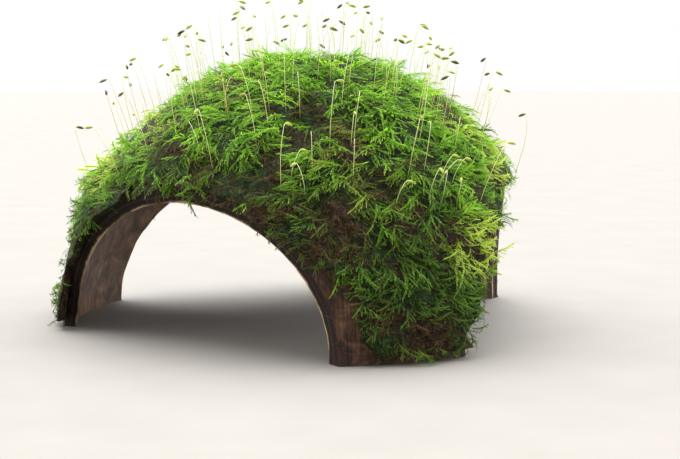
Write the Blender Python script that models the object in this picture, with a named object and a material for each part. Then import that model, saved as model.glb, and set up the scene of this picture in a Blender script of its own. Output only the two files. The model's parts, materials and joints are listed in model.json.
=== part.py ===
"""Java moss grown over half a coconut shell with three arched doorways.

Metres, +Z up. The origin is on the ground the shell's three legs stand on, under the middle of
the whole object. All is built about the shell's own axis and hung on one empty there.
Azimuths are in degrees from the -Y side, positive towards +X.
"""
import math
import random

import bmesh
import bpy
from mathutils import Vector, noise
from mathutils.bvhtree import BVHTree

# Coconut shell: half an ellipsoid, sawn flat across, a little taller than it is wide
SHELL_AXIS = (0.0032, 0.0017, 0.0)
SHELL_RADIUS = 0.055
SHELL_SEMI_HEIGHT = 0.0591
SHELL_CENTRE_Z = -0.0022
SHELL_WALL = 0.0030
SHELL_STEPS = 48
SHELL_RINGS = 10

# Doorways: three half-round arches sawn square through the wall
DOOR_AZIMUTHS = (-35.5, 79.0, 201.0)
DOOR_HALF_WIDTH = 0.0343
DOOR_HEIGHT = 0.0296
DOOR_FLARE = 0.0032
DOOR_POINTS = 22
DOOR_BEYOND = 0.080
BELOW_GROUND = -0.006

# Moss mat: a lumpy skin of drooping tufts, rooted on the shell
MOSS_GAP = 0.00035
MOSS_THICKNESS = 0.0024
MOSS_LUMP = 0.0011
MOSS_LUMP_SIZE = 0.011
MOSS_JITTER = 0.0005
MOSS_SUBDIVISIONS = 5
MOSS_SEED = 9
TUFT_SHARE = 0.48
TUFT_HEIGHT = (0.0016, 0.0038)
TUFT_DROOP = 0.6
TUFT_SPREAD = 0.3

# Hems: the mat hangs ragged past the doorways and stops just clear of the ground. Low on one
# side of the first doorway it has worn back and leaves the shell bare
DOOR_HEM = 0.0034
DOOR_HEM_RAGGED = 0.0045
BARE_DOOR = 0
BARE_SETBACK = 0.0055
BARE_TOP = 0.022
GROUND_HEM = 0.0016
GROUND_HEM_RAGGED = 0.0030
HEM_PITCH = 0.83
HEM_STEPS = 72
HEM_NEAR = 0.025
HEM_FAR = 0.080

# Sporophytes: hair-thin stalks on the crown, each with one nodding capsule
SPOROPHYTE_COUNT = 40
SPOROPHYTE_SPREAD = 62.0
SPOROPHYTE_SEED = 3
SPOROPHYTE_GAP = 0.0005
GOLDEN_ANGLE = 137.508
STALK_RADIUS = 0.00015
STALK_LENGTH = (0.0095, 0.0125)
STALK_SPLAY = 0.55
STALK_BOW = (0.0004, 0.0022)
STALK_LIFT = 0.0001
STALK_STATIONS = (0.0, 0.35, 0.7, 1.0)
SIGHT_LENGTH = 0.030
NECK_BEND = 0.0004
CAPSULE_LENGTH = 0.0025
CAPSULE_RADIUS = 0.0005
CAPSULE_DROOP = (0.0, 0.5)
CAPSULE_SWELL = ((0.25, 0.75), (0.55, 1.0), (0.85, 0.7), (1.0, 0.3))

UP = Vector((0, 0, 1))


def clear_scene():
    for obj in list(bpy.data.objects):
        bpy.data.objects.remove(obj, do_unlink=True)


def make_material(name, colour, roughness):
    material = bpy.data.materials.new(name)
    material.use_nodes = True
    shader = material.node_tree.nodes["Principled BSDF"]
    shader.inputs["Base Color"].default_value = (*colour, 1.0)
    shader.inputs["Roughness"].default_value = roughness
    shader.inputs["Metallic"].default_value = 0.0
    return material


def add_object(name, data, axis, material=None):
    """Object hung on the empty at the shell's axis."""
    obj = bpy.data.objects.new(name, data)
    bpy.context.collection.objects.link(obj)
    obj.parent = axis
    if material:
        data.materials.append(material)
    return obj


def add_cutter(name, data, axis):
    obj = add_object(name, data, axis)
    obj.hide_render = True
    obj.display_type = "WIRE"
    return obj


def cut(obj, cutter):
    modifier = obj.modifiers.new(cutter.name, "BOOLEAN")
    modifier.operation = "DIFFERENCE"
    modifier.solver = "EXACT"
    modifier.object = cutter


def finish_mesh(bm, name):
    mesh = bpy.data.meshes.new(name)
    bm.to_mesh(mesh)
    bm.free()
    return mesh


def facing(azimuth):
    """Level unit vector that looks out of the shell at an azimuth."""
    angle = math.radians(azimuth)
    return Vector((math.sin(angle), -math.cos(angle), 0))


def shell_normal(point):
    """Outward unit normal of the shell's ellipsoid through a point."""
    flat = Vector((point.x, point.y, 0)) / SHELL_RADIUS ** 2
    return (flat + UP * (point.z - SHELL_CENTRE_Z) / SHELL_SEMI_HEIGHT ** 2).normalized()


def shell_profile(offset, lowest_z):
    """Points down the shell's side from its top, at an offset from its outside."""
    radius = SHELL_RADIUS + offset
    semi_height = SHELL_SEMI_HEIGHT + offset
    end = math.acos((lowest_z - SHELL_CENTRE_Z) / semi_height)
    points = []
    for ring in range(SHELL_RINGS + 1):
        angle = end * ring / SHELL_RINGS
        points.append(Vector((radius * math.sin(angle), 0, SHELL_CENTRE_Z + semi_height * math.cos(angle))))
    return points


def turn(name, profile):
    """Closed body turned about Z from a profile that starts and ends on the axis."""
    bm = bmesh.new()
    verts = [bm.verts.new(point) for point in profile]
    edges = [bm.edges.new(pair) for pair in zip(verts, verts[1:])]
    bmesh.ops.spin(bm, geom=verts + edges, cent=(0, 0, 0), axis=UP, angle=math.tau,
                   steps=SHELL_STEPS, use_merge=True)
    bmesh.ops.remove_doubles(bm, verts=bm.verts, dist=1e-6)
    bmesh.ops.recalc_face_normals(bm, faces=bm.faces)
    return finish_mesh(bm, name)


def loft(name, near, far, far_middle):
    """Closed body between two loops of as many points, the far one closed over far_middle."""
    bm = bmesh.new()
    near_ring = [bm.verts.new(point) for point in near]
    far_ring = [bm.verts.new(point) for point in far]
    near_middle = bm.verts.new(sum(near, Vector()) / len(near))
    far_middle = bm.verts.new(far_middle)
    for index in range(len(near)):
        following = (index + 1) % len(near)
        bm.faces.new((near_ring[index], near_ring[following], far_ring[following], far_ring[index]))
        bm.faces.new((near_ring[index], near_ring[following], near_middle))
        bm.faces.new((far_ring[index], far_ring[following], far_middle))
    bmesh.ops.recalc_face_normals(bm, faces=bm.faces)
    return finish_mesh(bm, name)


def on_shell_by_door(azimuth, across, height, offset):
    """Point at an offset from the shell's outside, across and height away from a door's axis."""
    rise = (height - SHELL_CENTRE_Z) / (SHELL_SEMI_HEIGHT + offset)
    ahead = math.sqrt((SHELL_RADIUS + offset) ** 2 * (1 - rise ** 2) - across ** 2)
    return facing(azimuth) * ahead + facing(azimuth + 90) * across + UP * height


def arch_outline(half_width, height):
    """Half ellipse from foot to foot over the top, run on straight below the ground."""
    points = [(half_width, BELOW_GROUND)]
    for step in range(DOOR_POINTS + 1):
        angle = math.pi * step / DOOR_POINTS
        points.append((half_width * math.cos(angle), height * math.sin(angle)))
    points.append((-half_width, BELOW_GROUND))
    return points


def doorway(azimuth):
    """Plug whose sides cross the wall from the arch's inner edge to its wider outer edge."""
    inner = arch_outline(DOOR_HALF_WIDTH, DOOR_HEIGHT)
    outer = arch_outline(DOOR_HALF_WIDTH + DOOR_FLARE, DOOR_HEIGHT + DOOR_FLARE)
    near = []
    far = []
    for (inner_across, inner_z), (outer_across, outer_z) in zip(inner, outer):
        inside = on_shell_by_door(azimuth, inner_across, inner_z, -SHELL_WALL)
        outside = on_shell_by_door(azimuth, outer_across, outer_z, 0.0)
        near.append(inside * 2 - outside)
        far.append(outside * 2 - inside)
    return loft("doorway", near, far, facing(azimuth) * DOOR_BEYOND)


def build_shell(axis):
    outside = shell_profile(0.0, 0.0)
    inside = shell_profile(-SHELL_WALL, 0.0)
    material = make_material("charred_coconut_husk", (0.085, 0.040, 0.018), 0.75)
    shell = add_object("coconut_shell", turn("coconut_shell", outside + inside[::-1]), axis, material)
    for index, azimuth in enumerate(DOOR_AZIMUTHS):
        cut(shell, add_cutter("doorway_%d" % index, doorway(azimuth), axis))


def tufted_body():
    """Closed lumpy body round the shell, with a drooping tuft on a share of its faces."""
    rng = random.Random(MOSS_SEED)
    bm = bmesh.new()
    bmesh.ops.create_icosphere(bm, subdivisions=MOSS_SUBDIVISIONS, radius=1.0)
    for vert in bm.verts:
        root = Vector((vert.co.x * SHELL_RADIUS, vert.co.y * SHELL_RADIUS,
                       vert.co.z * SHELL_SEMI_HEIGHT + SHELL_CENTRE_Z))
        normal = shell_normal(root)
        stray = Vector([rng.uniform(-MOSS_JITTER, MOSS_JITTER) for _ in range(3)])
        thickness = MOSS_THICKNESS + MOSS_LUMP * noise.noise(root / MOSS_LUMP_SIZE)
        vert.co = root + normal * thickness + stray - normal * stray.dot(normal)
    chosen = [face for face in bm.faces if rng.random() < TUFT_SHARE]
    for tip in bmesh.ops.poke(bm, faces=chosen)["verts"]:
        normal = shell_normal(tip.co)
        downhill = normal * normal.z - UP
        sideways = normal.cross(UP) * rng.uniform(-TUFT_SPREAD, TUFT_SPREAD)
        tip.co += (normal + downhill * TUFT_DROOP + sideways) * rng.uniform(*TUFT_HEIGHT)
    return finish_mesh(bm, "java_moss")


def doorway_hem(index, azimuth):
    """Straight ragged plug that trims the mat, which so hangs a little past the arch's edge."""
    near = []
    far = []
    outline = arch_outline(DOOR_HALF_WIDTH + DOOR_HEM, DOOR_HEIGHT + DOOR_HEM)
    for step, (across, height) in enumerate(outline):
        ragged = DOOR_HEM_RAGGED * noise.noise(Vector((step * HEM_PITCH, index, 0)))
        if index == BARE_DOOR and across > 0:
            ragged += BARE_SETBACK * max(0.0, 1 - max(0.0, height) / BARE_TOP)
        grown = 1 + ragged / DOOR_HALF_WIDTH
        side = facing(azimuth + 90) * across * grown + UP * height * grown
        near.append(side + facing(azimuth) * HEM_NEAR)
        far.append(side + facing(azimuth) * HEM_FAR)
    return loft("doorway_hem", near, far, sum(far, Vector()) / len(far))


def ground_hem():
    """Disc with a wavy top that trims the mat's lower edge clear of the ground."""
    low = []
    high = []
    for step in range(HEM_STEPS):
        out = facing(360 * step / HEM_STEPS) * HEM_FAR
        ripple = 0.5 + 0.5 * noise.noise(Vector((step * HEM_PITCH, 0, len(DOOR_AZIMUTHS))))
        low.append(out - UP * HEM_FAR)
        high.append(out + UP * (GROUND_HEM + GROUND_HEM_RAGGED * ripple))
    return loft("ground_hem", low, high, UP * GROUND_HEM)


def build_moss(axis):
    material = make_material("java_moss_green", (0.075, 0.16, 0.018), 0.6)
    moss = add_object("java_moss", tufted_body(), axis, material)
    bed = turn("moss_bed", shell_profile(MOSS_GAP, BELOW_GROUND) + [UP * BELOW_GROUND])
    cut(moss, add_cutter("moss_bed", bed, axis))
    for index, azimuth in enumerate(DOOR_AZIMUTHS):
        cut(moss, add_cutter("doorway_hem_%d" % index, doorway_hem(index, azimuth), axis))
    cut(moss, add_cutter("ground_hem", ground_hem(), axis))
    return moss


def stalk_start(surface, polar, azimuth):
    """Root and direction of a stalk, or None where its line falls through a doorway."""
    on_shell = facing(azimuth) * SHELL_RADIUS * math.sin(polar)
    on_shell += UP * (SHELL_CENTRE_Z + SHELL_SEMI_HEIGHT * math.cos(polar))
    way = (shell_normal(on_shell) * STALK_SPLAY + UP).normalized()
    root = surface.ray_cast(on_shell + way * SIGHT_LENGTH, -way, SIGHT_LENGTH)[0]
    if root is None:
        return None
    while surface.find_nearest(root)[3] < SPOROPHYTE_GAP:
        root += way * STALK_LIFT
    return root, way


def sporophyte_tube(root, way, rng):
    """Thin tube that bows as it rises, turns over at the neck and swells into the capsule."""
    nod = facing(rng.uniform(0, 360))
    bow = nod * rng.uniform(*STALK_BOW)
    rise = way * rng.uniform(*STALK_LENGTH)
    points = [(root + rise * station + bow * station ** 2, 1.0) for station in STALK_STATIONS]
    neck = root + rise + bow + (way + nod) * NECK_BEND
    points.append((neck, 1.0))
    droop = (nod - UP * rng.uniform(*CAPSULE_DROOP)).normalized()
    for along, swell in CAPSULE_SWELL:
        points.append((neck + droop * CAPSULE_LENGTH * along, swell * CAPSULE_RADIUS / STALK_RADIUS))
    curve = bpy.data.curves.new("sporophyte", "CURVE")
    curve.dimensions = "3D"
    curve.bevel_depth = STALK_RADIUS
    curve.bevel_resolution = 0
    curve.use_fill_caps = True
    spline = curve.splines.new("POLY")
    spline.points.add(len(points) - 1)
    for target, (place, radius) in zip(spline.points, points):
        target.co = (*place, 1.0)
        target.radius = radius
    return curve


def build_sporophytes(axis, moss):
    """Sporophytes on a golden-angle spiral, each rooted where its own line meets the mat."""
    rng = random.Random(SPOROPHYTE_SEED)
    surface = BVHTree.FromObject(moss, bpy.context.evaluated_depsgraph_get())
    material = make_material("sporophyte_green_brown", (0.30, 0.27, 0.06), 0.45)
    made = 0
    for index in range(SPOROPHYTE_COUNT):
        polar = math.radians(SPOROPHYTE_SPREAD) * math.sqrt((index + 0.5) / SPOROPHYTE_COUNT)
        start = stalk_start(surface, polar, index * GOLDEN_ANGLE)
        if start:
            made += 1
            add_object("sporophyte_%02d" % made, sporophyte_tube(*start, rng), axis, material)


clear_scene()
shell_axis = bpy.data.objects.new("shell_axis", None)
bpy.context.collection.objects.link(shell_axis)
shell_axis.location = SHELL_AXIS
build_shell(shell_axis)
build_sporophytes(shell_axis, build_moss(shell_axis))
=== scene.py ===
import json
import math
import random

import bmesh
import bpy
from mathutils import Matrix, Vector, noise
from mathutils.bvhtree import BVHTree

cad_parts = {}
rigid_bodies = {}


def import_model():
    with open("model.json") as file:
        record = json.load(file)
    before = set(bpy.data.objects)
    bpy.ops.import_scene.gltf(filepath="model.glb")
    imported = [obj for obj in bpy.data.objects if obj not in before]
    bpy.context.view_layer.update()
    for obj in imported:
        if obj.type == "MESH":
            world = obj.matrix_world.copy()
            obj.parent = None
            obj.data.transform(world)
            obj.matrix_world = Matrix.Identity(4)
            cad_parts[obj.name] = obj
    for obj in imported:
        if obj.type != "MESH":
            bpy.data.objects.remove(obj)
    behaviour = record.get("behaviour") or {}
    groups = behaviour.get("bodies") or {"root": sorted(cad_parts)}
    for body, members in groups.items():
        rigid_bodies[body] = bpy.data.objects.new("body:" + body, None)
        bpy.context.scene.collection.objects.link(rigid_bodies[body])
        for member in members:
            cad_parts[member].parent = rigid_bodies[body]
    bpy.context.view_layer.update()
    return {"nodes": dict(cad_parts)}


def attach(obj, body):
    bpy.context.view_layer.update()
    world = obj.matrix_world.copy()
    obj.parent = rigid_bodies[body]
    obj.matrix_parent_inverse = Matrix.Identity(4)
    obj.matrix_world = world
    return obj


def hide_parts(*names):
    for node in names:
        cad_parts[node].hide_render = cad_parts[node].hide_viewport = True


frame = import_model()

# Coconut shell: half a coconut with its husk scraped down to short fibres, stood on three legs
# that are left between three sawn doorways. The saw has singed the cut edges nearly black, and
# its wall shows as two hard layers with a paler line between them.
UP = Vector((0, 0, 1))
SHELL_AXIS = Vector((0.0032, 0.0017, 0.0))
SHELL_RADIUS = 0.055
SHELL_SEMI_HEIGHT = 0.0591
SHELL_CENTRE_Z = -0.0022
SHELL_WALL = 0.0030
SHELL_STEPS = 208
SHELL_RINGS = 48
SAME_POINT = 1e-6
DOOR_AZIMUTHS = (-35.5, 79.0, 201.0)
DOOR_HALF_WIDTH = 0.0343
DOOR_HEIGHT = 0.0296
DOOR_FLARE = 0.0032
DOOR_BEYOND = 0.080
DOOR_POINTS = 90
BELOW_GROUND = -0.006
# Where the cut's points lie, from the wall's inside at 0 to its outside at 1.
SAW_STATIONS = (-1.0, 0.0, 0.36, 0.46, 0.56, 1.0, 2.0)
SAW_GROOVE_STATION = 0.46
SAW_GROOVE = 0.00035
SAW_WOBBLE = 0.00022
WOBBLE_ALONG = 0.7
WOBBLE_ACROSS = 2
FLAT_FOOT = 1e-4
HUSK_FROM_REACH = 0.985
HUSK_FACING = 0.75
HUSK_RELIEF = 0.00025
HUSK_RIDGE_WIDTH = 0.0022
INSIDE_RELIEF = 0.00025
INSIDE_RELIEF_SIZE = 0.004
SHARP_ANGLE = 40.0
FIBRE_WIDTH = 0.00045
FIBRE_RUN = 0.009
BLOTCH_SIZE = 0.00385
SAW_GRAIN = 0.00143
SINGE_SIZE = 0.0111


def facing(azimuth):
    """Level unit vector that looks out of the shell at an azimuth in degrees from -Y."""
    angle = math.radians(azimuth)
    return Vector((math.sin(angle), -math.cos(angle), 0))


def shell_normal(point):
    """Outward unit normal of the shell's ellipsoid through a point measured from its axis."""
    flat = Vector((point.x, point.y, 0)) / SHELL_RADIUS ** 2
    return (flat + UP * (point.z - SHELL_CENTRE_Z) / SHELL_SEMI_HEIGHT ** 2).normalized()


def shell_reach(point):
    """1 on the shell's outside, less within it and more beyond it."""
    rise = (point.z - SHELL_CENTRE_Z) / SHELL_SEMI_HEIGHT
    return Vector((point.x / SHELL_RADIUS, point.y / SHELL_RADIUS, rise)).length


def shell_profile(offset, lowest_z, rings):
    """Points down the shell's side from its top, at an offset from its outside."""
    radius = SHELL_RADIUS + offset
    semi_height = SHELL_SEMI_HEIGHT + offset
    end = math.acos((lowest_z - SHELL_CENTRE_Z) / semi_height)
    angles = [end * ring / rings for ring in range(rings + 1)]
    return [Vector((radius * math.sin(a), 0, SHELL_CENTRE_Z + semi_height * math.cos(a))) for a in angles]


def add_object(name, data, collection=bpy.context.scene.collection):
    """Object of a mesh, a light or a camera, linked into a collection."""
    obj = bpy.data.objects.new(name, data)
    collection.objects.link(obj)
    return obj


def as_object(name, bm):
    """Object of a finished bmesh, with its faces turned outwards."""
    bmesh.ops.recalc_face_normals(bm, faces=bm.faces)
    mesh = bpy.data.meshes.new(name)
    bm.to_mesh(mesh)
    bm.free()
    return add_object(name, mesh)


def turned(name, profile, steps):
    """Closed body turned about Z from a profile that starts and ends on the axis."""
    bm = bmesh.new()
    verts = [bm.verts.new(point) for point in profile]
    edges = [bm.edges.new(pair) for pair in zip(verts, verts[1:])]
    bmesh.ops.spin(bm, geom=verts + edges, cent=(0, 0, 0), axis=UP, angle=math.tau,
                   steps=steps, use_merge=True)
    bmesh.ops.remove_doubles(bm, verts=bm.verts, dist=SAME_POINT)
    return as_object(name, bm)


def lofted(name, loops, far_middle):
    """Closed body through loops of as many points, the last one closed over far_middle."""
    bm = bmesh.new()
    rings = [[bm.verts.new(point) for point in loop] for loop in loops]
    count = len(rings[0])
    near_middle = bm.verts.new(sum(loops[0], Vector()) / count)
    far_middle = bm.verts.new(far_middle)
    for index in range(count):
        following = (index + 1) % count
        bm.faces.new((rings[0][index], rings[0][following], near_middle))
        bm.faces.new((rings[-1][index], rings[-1][following], far_middle))
        for inner, outer in zip(rings, rings[1:]):
            bm.faces.new((inner[index], inner[following], outer[following], outer[index]))
    return as_object(name, bm)


def make_plain(obj):
    """Gives obj its evaluated mesh and removes its modifiers."""
    mesh = bpy.data.meshes.new_from_object(obj.evaluated_get(bpy.context.evaluated_depsgraph_get()))
    obj.modifiers.clear()
    obj.data = mesh


def cut_away(obj, cutters):
    """Leaves obj a plain mesh with the cutters taken away from it."""
    for cutter in cutters:
        modifier = obj.modifiers.new(cutter.name, "BOOLEAN")
        modifier.operation = "DIFFERENCE"
        modifier.solver = "EXACT"
        modifier.object = cutter
    make_plain(obj)
    for cutter in cutters:
        bpy.data.objects.remove(cutter, do_unlink=True)


def arch_outline(half_width, height, points):
    """Half ellipse from foot to foot over the top, run on straight below the ground."""
    angles = [math.pi * step / points for step in range(points + 1)]
    arch = [(half_width * math.cos(angle), height * math.sin(angle)) for angle in angles]
    return [(half_width, BELOW_GROUND)] + arch + [(-half_width, BELOW_GROUND)]


def on_shell_by_door(azimuth, across, height, offset):
    """Point at an offset from the shell's outside, across and height away from a door's axis."""
    rise = (height - SHELL_CENTRE_Z) / (SHELL_SEMI_HEIGHT + offset)
    ahead = math.sqrt((SHELL_RADIUS + offset) ** 2 * (1 - rise ** 2) - across ** 2)
    return facing(azimuth) * ahead + facing(azimuth + 90) * across + UP * height


def doorway(azimuth):
    """Plug whose sides cross the wall, with the saw's wobble along them and a ridge that cuts a groove."""
    inner = arch_outline(DOOR_HALF_WIDTH, DOOR_HEIGHT, DOOR_POINTS)
    outer = arch_outline(DOOR_HALF_WIDTH + DOOR_FLARE, DOOR_HEIGHT + DOOR_FLARE, DOOR_POINTS)
    loops = [[] for _ in SAW_STATIONS]
    for step, ((inner_across, inner_z), (outer_across, outer_z)) in enumerate(zip(inner, outer)):
        inside = on_shell_by_door(azimuth, inner_across, inner_z, -SHELL_WALL)
        outside = on_shell_by_door(azimuth, outer_across, outer_z, 0.0)
        away = (facing(azimuth + 90) * inner_across + UP * max(inner_z, 0.0)).normalized()
        for loop, station in zip(loops, SAW_STATIONS):
            place = Vector((step * WOBBLE_ALONG, azimuth, station * WOBBLE_ACROSS))
            groove = SAW_GROOVE if station == SAW_GROOVE_STATION else 0.0
            loop.append(inside.lerp(outside, station) + away * (SAW_WOBBLE * noise.noise(place) + groove))
    return lofted("doorway", loops, facing(azimuth) * DOOR_BEYOND)


def roughen_shell(mesh):
    """Ridges of fibre on the outside and low bumps inside; the flat foot stays as it is."""
    for vert in mesh.vertices:
        point = vert.co.copy()
        if point.z < FLAT_FOOT:
            continue
        if shell_reach(point) > HUSK_FROM_REACH:
            turn = Vector((point.x, point.y, 0)).normalized() * SHELL_RADIUS / HUSK_RIDGE_WIDTH
            ridge = noise.noise(turn + UP * point.z / FIBRE_RUN)
            vert.co -= shell_normal(point) * HUSK_RELIEF * (1 + ridge)
        else:
            vert.co += shell_normal(point) * INSIDE_RELIEF * noise.noise(point / INSIDE_RELIEF_SIZE)


def linear(hex_colour):
    """Linear red, green, blue and alpha of an sRGB hex colour."""
    parts = [int(hex_colour[i:i + 2], 16) / 255 for i in (1, 3, 5)]
    return (*[p / 12.92 if p <= 0.04045 else ((p + 0.055) / 1.055) ** 2.4 for p in parts], 1.0)


def put(tree, kind, inputs=None, stops=(), **settings):
    """Adds a node with its settings, its inputs as values or as links from sockets, and the stops
    of its ramp as positions and hex colours, and gives back its outputs."""
    node = tree.nodes.new(kind)
    for name, value in settings.items():
        setattr(node, name, value)
    for key, value in (inputs or {}).items():
        if isinstance(value, bpy.types.NodeSocket):
            tree.links.new(value, node.inputs[key])
        else:
            node.inputs[key].default_value = value
    for index, (position, colour) in enumerate(stops):
        elements = node.color_ramp.elements
        element = elements[index] if index < len(elements) else elements.new(position)
        element.position = position
        element.color = linear(colour)
    return node.outputs


def made_of(finish):
    """Material named for the function that builds its tree and gives back its shader."""
    material = bpy.data.materials.new(finish.__name__)
    material.use_nodes = True
    material.node_tree.nodes.clear()
    put(material.node_tree, "ShaderNodeOutputMaterial", {"Surface": finish(material.node_tree)})
    return material


def matt(tree, colour, relief, surface):
    """Shader of a matt colour, from the inputs that set its relief and its surface."""
    bump = put(tree, "ShaderNodeBump", relief)[0]
    return put(tree, "ShaderNodeBsdfPrincipled", {"Base Color": colour, "Normal": bump, **surface})[0]


def scraped_coconut_husk(tree):
    """Coconut husk scraped to the shell: short red-brown fibres that run from crown to rim. A fibre
    is 0.2 mm thick, too fine to show, and is drawn twice as wide."""
    where = put(tree, "ShaderNodeTexCoord")["Object"]
    centred = put(tree, "ShaderNodeVectorMath", {0: where, 1: SHELL_AXIS}, operation="SUBTRACT")[0]
    flat = put(tree, "ShaderNodeVectorMath", {0: centred, 1: (1, 1, 0)}, operation="MULTIPLY")[0]
    outwards = put(tree, "ShaderNodeVectorMath", {0: flat}, operation="NORMALIZE")[0]
    round_shell = {0: outwards, "Scale": SHELL_RADIUS / FIBRE_WIDTH}
    across = put(tree, "ShaderNodeVectorMath", round_shell, operation="SCALE")[0]
    down = put(tree, "ShaderNodeVectorMath", {0: centred, 1: (0, 0, 1 / FIBRE_RUN)}, operation="MULTIPLY")[0]
    streaks = put(tree, "ShaderNodeVectorMath", {0: across, 1: down}, operation="ADD")[0]
    fibres = put(tree, "ShaderNodeTexNoise",
                 {"Vector": streaks, "Scale": 1.0, "Detail": 5.0, "Roughness": 0.6})["Fac"]
    blotches = put(tree, "ShaderNodeTexNoise", {"Vector": where, "Scale": 1 / BLOTCH_SIZE, "Detail": 6.0,
                                                "Roughness": 0.65, "Distortion": 1.0})["Fac"]
    mixed = put(tree, "ShaderNodeMix", {0: 0.7, 2: fibres, 3: blotches}, data_type="FLOAT")[0]
    colour = put(tree, "ShaderNodeValToRGB", {"Fac": mixed},
                 ((0.36, "#18100c"), (0.46, "#38251a"), (0.54, "#553a29"), (0.66, "#806048")))[0]
    return matt(tree, colour, {"Height": fibres, "Strength": 0.9, "Distance": 0.0005},
                {"Roughness": 0.72, "Specular IOR Level": 0.35})


def coconut_shell_inside(tree):
    """Inside of a coconut shell: hard, dull, mottled with the dried skin of the flesh."""
    where = put(tree, "ShaderNodeTexCoord")["Object"]
    mottle = put(tree, "ShaderNodeTexNoise", {"Vector": where, "Scale": 1 / BLOTCH_SIZE, "Detail": 8.0,
                                              "Roughness": 0.6, "Distortion": 0.6})["Fac"]
    colour = put(tree, "ShaderNodeValToRGB", {"Fac": mottle},
                 ((0.30, "#2a1a10"), (0.45, "#563a25"), (0.58, "#7a573a"), (0.72, "#9c7652")))[0]
    return matt(tree, colour, {"Height": mottle, "Strength": 0.5, "Distance": 0.0004}, {"Roughness": 0.6})


def singed_sawn_shell(tree):
    """Sawn coconut shell: singed nearly black, with a paler line where its two layers meet, and a pale band
    at its inner edge that is a painted highlight. The saw's scratches are 0.3 mm apart, too fine to show, and
    its grain is drawn coarser."""
    where = put(tree, "ShaderNodeTexCoord")["Object"]
    centre = SHELL_AXIS + UP * SHELL_CENTRE_Z
    from_centre = put(tree, "ShaderNodeVectorMath", {0: where, 1: centre}, operation="SUBTRACT")[0]
    to_unit = (1 / SHELL_RADIUS, 1 / SHELL_RADIUS, 1 / SHELL_SEMI_HEIGHT)
    unit = put(tree, "ShaderNodeVectorMath", {0: from_centre, 1: to_unit}, operation="MULTIPLY")[0]
    reach = put(tree, "ShaderNodeVectorMath", {0: unit}, operation="LENGTH")["Value"]
    through_wall = {"Value": reach, "From Min": 1 - SHELL_WALL / SHELL_RADIUS, "From Max": 1.0}
    across = put(tree, "ShaderNodeMapRange", through_wall)[0]
    grain = put(tree, "ShaderNodeTexNoise",
                {"Vector": where, "Scale": 1 / SAW_GRAIN, "Detail": 5.0, "Roughness": 0.7})["Fac"]
    singe = put(tree, "ShaderNodeTexNoise", {"Vector": where, "Scale": 1 / SINGE_SIZE, "Detail": 2.0})["Fac"]
    for pattern, least, most, swing in ((grain, 0.0, 1.0, 0.12), (singe, 0.3, 0.7, 0.1)):
        stray = put(tree, "ShaderNodeMapRange", {"Value": pattern, "From Min": least, "From Max": most,
                                                 "To Min": -swing, "To Max": swing})[0]
        across = put(tree, "ShaderNodeMath", {0: across, 1: stray}, operation="ADD")[0]
    # Painted highlight: the first two stops give the cut's inner edge a pale tan band for the light caught
    # there.
    colour = put(tree, "ShaderNodeValToRGB", {"Fac": across},
                 ((0.0, "#b39a76"), (0.06, "#6b533a"), (0.15, "#1c130d"), (0.36, "#150e0a"),
                  (0.44, "#33261a"), (0.52, "#2a1e14"), (0.62, "#120c09"), (1.0, "#2a1b12")))[0]
    return matt(tree, colour, {"Height": grain, "Strength": 0.7, "Distance": 0.0003},
                {"Roughness": 0.7, "Specular IOR Level": 0.2})


outside = shell_profile(0.0, 0.0, SHELL_RINGS)
inside = shell_profile(-SHELL_WALL, 0.0, SHELL_RINGS)
shell = turned("coconut_shell_sawn", outside + inside[::-1], SHELL_STEPS)
cut_away(shell, [doorway(azimuth) for azimuth in DOOR_AZIMUTHS])
roughen_shell(shell.data)
for finish in (scraped_coconut_husk, coconut_shell_inside, singed_sawn_shell):
    shell.data.materials.append(made_of(finish))
for face in shell.data.polygons:
    outwardness = face.normal.dot(shell_normal(face.center))
    face.material_index = 0 if outwardness > HUSK_FACING else 1 if outwardness < -HUSK_FACING else 2
shell.data.shade_smooth()
shell.data.set_sharp_from_angle(angle=math.radians(SHARP_ANGLE))
shell.data.transform(Matrix.Translation(SHELL_AXIS))
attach(shell, "root")
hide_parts("coconut_shell")

# Old growth: the felt of dead and shaded stems that grips the husk and carries the living shoots, coloured
# nearly black, partly as painted shade in the gaps between them.
# Its bed lies a little within the husk's rough outside. It hangs ragged past the doorways, stops
# just clear of the ground, and low beside the doorways it has worn back from the bare husk.
BED_SINK = 0.0003
BED_TOP_REACH = 1 + 0.00105 / SHELL_RADIUS
BED_RINGS = 20
BED_STEPS = 120
FELT_THICKNESS = 0.0017
FELT_SUBDIVISIONS = 6
# Each wave has its size, its height and the layer of the random pattern that it is read from.
FELT_LUMPS = ((0.011, 0.0009, 0), (0.0042, 0.0006, 0))
FUZZ_HEIGHT = 0.00055
FUZZ_SIZE = 0.0012
# A place on the shell is an azimuth and a height.
THIN_PLACES = ((-92, 0.017), (-100, 0.010), (-84, 0.012), (-92, 0.004), (-78, 0.046), (104, 0.028),
               (112, 0.024), (118, 0.014), (122, 0.006))
THIN_REACH = 0.017
THIN_SHARE = 0.5
DOOR_HEM = 0.0034
DOOR_HEM_RAGGED = 0.0045
# How far the growth stands back beside each doorway, to what height, and how squarely it does,
# on the side towards lower azimuths and then on the other.
HEM_SIDES = (((-0.0024, 0.034, 2), (0.0062, 0.024, 2)), ((0.0, 0.020, 2), (0.0108, 0.034, 4)),
             ((-0.0010, 0.030, 2), (0.0, 0.020, 2)))
GROUND_HEM = 0.0010
GROUND_HEM_RAGGED = 0.0024
HEM_POINTS = 22
HEM_PITCH = 0.83
HEM_STEPS = 72
HEM_NEAR = 0.025
HEM_FAR = 0.080
FELT_GRAIN = 0.00111
FELT_PATCH = 0.0077
CROWN_GREENER = -0.12


def nearness(point, places, reach):
    """1 at any of the places on the shell, falling to 0 at their reach."""
    nearest = min((point - on_shell_by_door(azimuth, 0.0, height, 0.0)).length for azimuth, height in places)
    return max(0.0, 1 - nearest / reach)


def waves_at(point, waves):
    """Sum of smooth random waves at a point."""
    return sum(height * noise.noise(point / size + UP * layer) for size, height, layer in waves)


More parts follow.
